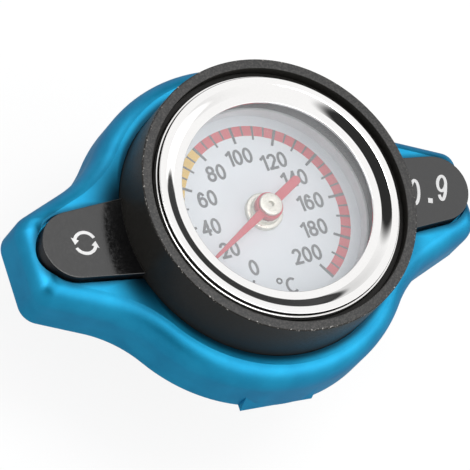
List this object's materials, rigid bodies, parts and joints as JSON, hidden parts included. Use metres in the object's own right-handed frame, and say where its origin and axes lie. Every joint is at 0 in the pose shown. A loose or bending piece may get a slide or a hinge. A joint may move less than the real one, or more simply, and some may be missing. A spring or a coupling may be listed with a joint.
{
  "type": "radiator cap thermometer",
  "caption": "Winged radiator pressure cap with a dial thermometer in a round black housing on a blue anodised cover, with a spring-loaded pressure valve and a probe below.",
  "frame": {"origin": "centre of the rim gasket's underside, on the cap's axis, where the gasket rests on the filler neck", "axes": "+Z along the cap's axis, up out of the dial; +X along the right wing; +Y away from the reader, so the dial reads upright along it"},
  "size_m": [0.0782, 0.0544, 0.0447],
  "materials": {
    "blue_anodised": "satin blue anodised, fine beadblasted grain",
    "black_coat": "black coat, brushed on the tabs, worn at its edges",
    "bright_steel": "turned, satin",
    "plated_steel": "zinc plated, satin",
    "chrome": "bright chrome",
    "glass": "clear",
    "rubber": "moulded, matt",
    "grey_plastic": "moulded, satin",
    "white_paint": "matt white, printed scale",
    "red_paint": "satin red",
    "bimetal": "rolled strip",
    "brass": "turned",
    "spring_steel": "drawn wire and sheet"
  },
  "bodies": {
    "cap": {"wing_cover": "blue_anodised", "gauge_housing": "black_coat", "housing_screws": "bright_steel", "gauge_case": "plated_steel", "bezel_ring": "chrome", "glass_lens": "glass", "lens_gasket": "rubber", "dial_ring": "grey_plastic", "dial_plate": "white_paint", "shaft_bush": "bright_steel", "stem_tube": "bright_steel", "stem_washer": "bright_steel", "stem_nut": "brass", "cam_shell": "plated_steel", "retaining_ring": "spring_steel", "bimetal_coil": "bimetal"},
    "pointer_body": {"pointer": "red_paint", "pointer_cap": "bright_steel", "pointer_shaft": "bright_steel"},
    "seal_pack": {"diaphragm": "spring_steel", "rim_gasket": "rubber", "spring_seat": "plated_steel", "main_spring": "spring_steel"},
    "pressure_valve": {"valve_plate": "plated_steel", "pressure_seal": "rubber", "seal_retainer": "plated_steel", "stem_o_ring": "rubber", "vacuum_spring": "spring_steel"},
    "return_valve": {"vacuum_valve": "brass", "vacuum_clip": "brass"}
  },
  "joints": [
    {"name": "pointer_turn", "type": "hinge", "parent": "cap", "child": "pointer_body", "pos_m": [0, 0, 0], "axis": [0, 0, 1], "range_deg": [-267, 33], "stiffness_Nm_per_rad": 0.00002, "deforming": ["bimetal_coil"]},
    {"name": "valve_swivel", "type": "hinge", "parent": "cap", "child": "seal_pack", "pos_m": [0, 0, 0], "axis": [0, 0, 1], "continuous": true},
    {"name": "pressure_lift", "type": "slide", "parent": "seal_pack", "child": "pressure_valve", "axis": [0, 0, 1], "range_m": [0, 0.0025], "stiffness_N_per_m": 9000, "deforming": ["main_spring"]},
    {"name": "vacuum_open", "type": "slide", "parent": "pressure_valve", "child": "return_valve", "axis": [0, 0, -1], "range_m": [0, 0.0012], "stiffness_N_per_m": 60, "springref_m": -0.0001, "deforming": ["vacuum_spring"]}
  ]
}
